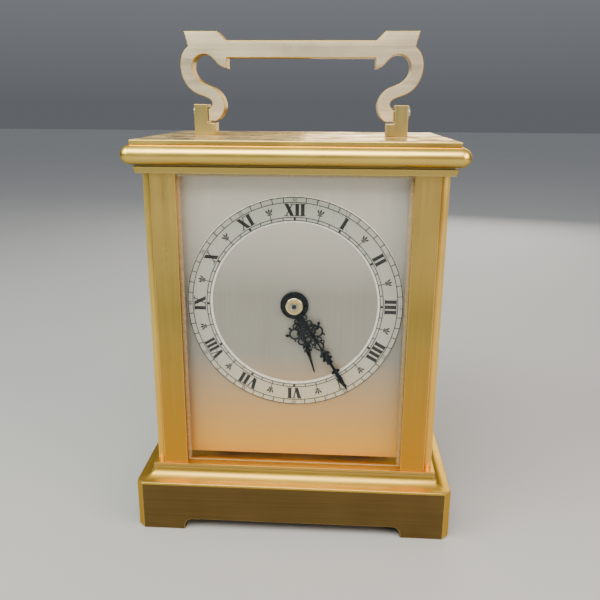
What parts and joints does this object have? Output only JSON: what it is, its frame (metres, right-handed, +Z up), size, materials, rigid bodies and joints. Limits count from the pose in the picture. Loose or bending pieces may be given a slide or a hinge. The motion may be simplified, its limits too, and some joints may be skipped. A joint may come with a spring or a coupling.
{
  "type": "mantel clock",
  "caption": "Brass carriage clock with a silvered dial, blued hands, glazed sides and back door, and a scroll handle that folds down.",
  "frame": {"origin": "centre of the plinth's footprint, on the table", "axes": "+Z up, the dial faces -Y, +X to the right of someone who reads the dial"},
  "size_m": [0.1156, 0.0878, 0.1782],
  "materials": {
    "brass": "brushed and lacquered, satin",
    "bright_brass": "polished and lacquered",
    "pale_brass": "fine brushed, pale",
    "silvered": "silvered, upright brushed grain",
    "ring": "silvered, fine grain",
    "steel": "polished steel",
    "blued": "heat blued",
    "glass": "clear, bevelled edges"
  },
  "bodies": {
    "case": {"plinth": "brass", "base_plate": "brass", "pillar_front_left": "brass", "pillar_front_right": "brass", "pillar_back_left": "brass", "pillar_back_right": "brass", "handle_block_left": "brass", "handle_block_right": "brass", "front_movement_plate": "brass", "back_movement_plate": "brass", "movement_post_lower_left": "brass", "movement_post_lower_right": "brass", "movement_post_upper_left": "brass", "movement_post_upper_right": "brass", "movement_rail_left": "brass", "movement_rail_right": "brass", "cornice": "bright_brass", "top_plate": "bright_brass", "platform": "bright_brass", "escape_cock": "bright_brass", "balance_cock": "bright_brass", "dial_plate": "silvered", "chapter_ring": "ring", "handle_pin_left": "steel", "handle_pin_right": "steel", "minute_wheel_post": "steel", "click_screw": "steel", "hairspring": "blued", "front_glass": "glass", "left_glass": "glass", "right_glass": "glass"},
    "handle": {"handle": "pale_brass"},
    "door": {"door_frame": "brass", "door_glass": "glass", "door_knob": "bright_brass"},
    "minute_hand": {"minute_hand": "blued", "hand_collet": "bright_brass", "cannon_pinion": "steel"},
    "minute_wheel": {"minute_wheel": "brass"},
    "hour_hand": {"hour_hand": "blued", "hour_wheel": "brass"},
    "contrate": {"contrate_wheel": "brass", "contrate_arbor": "steel"},
    "third": {"third_wheel": "brass", "third_arbor": "steel"},
    "centre": {"centre_wheel": "brass", "centre_arbor": "steel"},
    "barrel": {"barrel": "brass", "barrel_cap": "brass", "mainspring": "steel"},
    "escape": {"escape_wheel": "brass", "escape_arbor": "steel"},
    "winding": {"winding_arbor": "steel", "ratchet_wheel": "steel"},
    "click": {"click": "steel"},
    "lever": {"pallet_lever": "steel"},
    "balance": {"balance_wheel": "bright_brass", "balance_staff": "steel"}
  },
  "joints": [
    {"name": "handle_fold", "type": "hinge", "parent": "case", "child": "handle", "pos_m": [0, 0, 0.1505], "axis": [-1, 0, 0], "range_deg": [0, 90]},
    {"name": "door_open", "type": "hinge", "parent": "case", "child": "door", "pos_m": [-0.0375, 0.03565, 0], "axis": [0, 0, 1], "range_deg": [0, 95]},
    {"name": "minute_hand_turn", "type": "hinge", "parent": "case", "child": "minute_hand", "pos_m": [0, 0, 0.0849], "axis": [0, 1, 0], "continuous": true},
    {"name": "minute_wheel_turn", "type": "hinge", "parent": "case", "child": "minute_wheel", "pos_m": [0.00935, 0, 0.0795], "axis": [0, 1, 0], "continuous": true},
    {"name": "hour_hand_turn", "type": "hinge", "parent": "case", "child": "hour_hand", "pos_m": [0, 0, 0.0849], "axis": [0, 1, 0], "continuous": true},
    {"name": "contrate_turn", "type": "hinge", "parent": "case", "child": "contrate", "pos_m": [0.01398, 0, 0.09701], "axis": [0, 1, 0], "continuous": true},
    {"name": "third_turn", "type": "hinge", "parent": "case", "child": "third", "pos_m": [0.01749, 0, 0.08343], "axis": [0, 1, 0], "continuous": true},
    {"name": "centre_turn", "type": "hinge", "parent": "case", "child": "centre", "pos_m": [0, 0, 0.0849], "axis": [0, 1, 0], "continuous": true},
    {"name": "barrel_turn", "type": "hinge", "parent": "case", "child": "barrel", "pos_m": [-0.00801, 0, 0.0611], "axis": [0, 1, 0], "continuous": true},
    {"name": "escape_turn", "type": "hinge", "parent": "case", "child": "escape", "pos_m": [0.01398, -0.00318, 0], "axis": [0, 0, 1], "continuous": true},
    {"name": "winding_turn", "type": "hinge", "parent": "case", "child": "winding", "pos_m": [-0.00801, 0, 0.0611], "axis": [0, 1, 0], "continuous": true},
    {"name": "click_lift", "type": "hinge", "parent": "case", "child": "click", "pos_m": [0.00489, 0, 0.0671], "axis": [0, 1, 0], "range_deg": [0, 20], "stiffness_Nm_per_rad": 0.0005},
    {"name": "lever_rock", "type": "hinge", "parent": "case", "child": "lever", "pos_m": [0.00578, -0.00318, 0], "axis": [0, 0, 1], "range_deg": [-4, 4]},
    {"name": "balance_swing", "type": "hinge", "parent": "case", "child": "balance", "pos_m": [-0.00562, -0.00318, 0], "axis": [0, 0, 1], "range_deg": [-270, 270], "stiffness_Nm_per_rad": 0.000032}
  ],
  "couplings": [
    {"joint": "minute_wheel_turn", "follows": "minute_hand_turn", "ratio": -0.33333},
    {"joint": "hour_hand_turn", "follows": "minute_hand_turn", "ratio": 0.083333},
    {"joint": "third_turn", "follows": "contrate_turn", "ratio": -0.13333},
    {"joint": "centre_turn", "follows": "contrate_turn", "ratio": 0.016667},
    {"joint": "barrel_turn", "follows": "contrate_turn", "ratio": -0.0020833},
    {"joint": "escape_turn", "follows": "contrate_turn", "ratio": 10}
  ]
}
